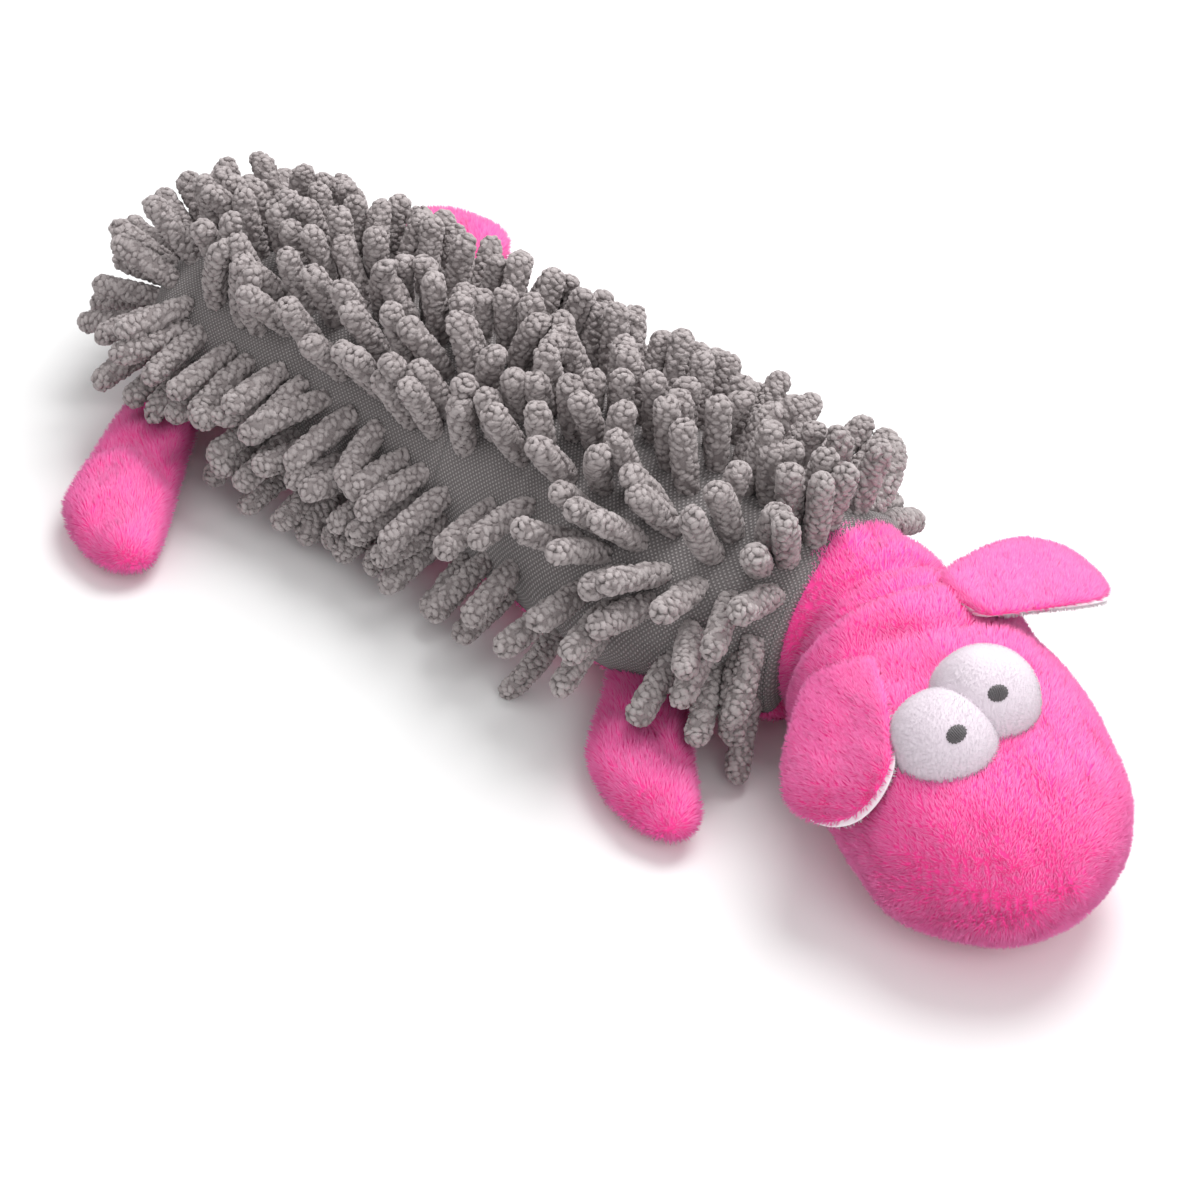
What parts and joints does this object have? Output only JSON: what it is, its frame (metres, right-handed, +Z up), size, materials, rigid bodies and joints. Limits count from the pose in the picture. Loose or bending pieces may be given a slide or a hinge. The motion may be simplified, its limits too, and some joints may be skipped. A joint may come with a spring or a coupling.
{
  "type": "squeaky dog toy",
  "caption": "Stuffed, squeaking dog toy: a long body covered with chenille noodles, with a plush head, flap ears, domed eyes and flat legs.",
  "frame": {"origin": "middle of the flat that the belly rests on", "axes": "+X towards the nose, +Y to the toy's left, +Z up"},
  "size_m": [0.4253, 0.2137, 0.0933],
  "materials": {
    "grey_chenille": "matt chenille noodles on a grey knitted ground",
    "pink_plush": "short plush pile",
    "white_velour": "close-cut velour",
    "white_plush": "short plush pile",
    "wadding": "loose polyester fibre",
    "dark_thread": "satin-stitched thread",
    "grey_tape": "woven tape",
    "soft_plastic": "blow-moulded soft plastic",
    "hard_plastic": "injection-moulded plastic"
  },
  "bodies": {
    "root": {"noodle_cover_left_rear": "grey_chenille", "noodle_cover_right_rear": "grey_chenille", "noodle_cover_left_front": "grey_chenille", "noodle_cover_right_front": "grey_chenille", "belly_panel": "pink_plush", "side_seam_tape": "grey_tape", "torso_stuffing_lower": "wadding", "torso_stuffing_upper": "wadding", "squeaker_base": "soft_plastic", "squeaker_wall": "soft_plastic", "squeaker_reed_housing": "hard_plastic", "squeaker_reed": "hard_plastic"},
    "squeaker_crown": {"squeaker_top": "soft_plastic"},
    "neck": {"nape_plush": "pink_plush", "neck_stuffing": "wadding"},
    "head": {"face_plush": "pink_plush", "chin_panel": "pink_plush", "head_stuffing": "wadding", "eye_pad_left": "white_velour", "eye_pad_right": "white_velour", "eye_wad_left": "wadding", "eye_wad_right": "wadding", "pupil_left": "dark_thread", "pupil_right": "dark_thread"},
    "ear_left": {"ear_outer_left": "pink_plush", "ear_lining_left": "white_plush"},
    "ear_right": {"ear_outer_right": "pink_plush", "ear_lining_right": "white_plush"},
    "leg_rear_left": {"leg_upper_rear_left": "pink_plush", "leg_sole_rear_left": "pink_plush", "leg_stuffing_rear_left": "wadding"},
    "leg_rear_right": {"leg_upper_rear_right": "pink_plush", "leg_sole_rear_right": "pink_plush", "leg_stuffing_rear_right": "wadding"},
    "leg_front_left": {"leg_upper_front_left": "pink_plush", "leg_sole_front_left": "pink_plush", "leg_stuffing_front_left": "wadding"},
    "leg_front_right": {"leg_upper_front_right": "pink_plush", "leg_sole_front_right": "pink_plush", "leg_stuffing_front_right": "wadding"}
  },
  "joints": [
    {"name": "neck_turn", "type": "hinge", "parent": "root", "child": "neck", "pos_m": [0.144, 0, 0.0315], "axis": [0, 0, 1], "range_deg": [-15, 22], "stiffness_Nm_per_rad": 0.3},
    {"name": "head_nod", "type": "hinge", "parent": "neck", "child": "head", "pos_m": [0.16923, -0.00629, 0.0315], "axis": [-0.5299, -0.848, 0], "range_deg": [-8, 20], "stiffness_Nm_per_rad": 0.3},
    {"name": "ear_left_flap", "type": "hinge", "parent": "head", "child": "ear_left", "pos_m": [0.1828, -0.00213, 0.06285], "axis": [0.9491, -0.3047, 0.0795], "range_deg": [-8, 60], "stiffness_Nm_per_rad": 0.02},
    {"name": "ear_right_flap", "type": "hinge", "parent": "head", "child": "ear_right", "pos_m": [0.16653, -0.03441, 0.05115], "axis": [-0.8053, -0.5213, -0.2823], "range_deg": [-8, 60], "stiffness_Nm_per_rad": 0.02},
    {"name": "leg_rear_left_flap", "type": "hinge", "parent": "root", "child": "leg_rear_left", "pos_m": [-0.112, 0.04, 0.012], "axis": [1, 0, 0], "range_deg": [-70, 10], "stiffness_Nm_per_rad": 0.06},
    {"name": "leg_rear_right_flap", "type": "hinge", "parent": "root", "child": "leg_rear_right", "pos_m": [-0.116, -0.04, 0.012], "axis": [-1, 0, 0], "range_deg": [-70, 10], "stiffness_Nm_per_rad": 0.06},
    {"name": "leg_front_left_flap", "type": "hinge", "parent": "root", "child": "leg_front_left", "pos_m": [0.086, 0.036, 0.012], "axis": [1, 0, 0], "range_deg": [-70, 10], "stiffness_Nm_per_rad": 0.06},
    {"name": "leg_front_right_flap", "type": "hinge", "parent": "root", "child": "leg_front_right", "pos_m": [0.098, -0.046, 0.012], "axis": [-1, 0, 0], "range_deg": [-70, 10], "stiffness_Nm_per_rad": 0.06},
    {"name": "squeaker_squeeze", "type": "slide", "parent": "root", "child": "squeaker_crown", "axis": [0, 0, -1], "range_m": [0, 0.006], "stiffness_N_per_m": 300, "deforming": ["squeaker_wall"]}
  ]
}
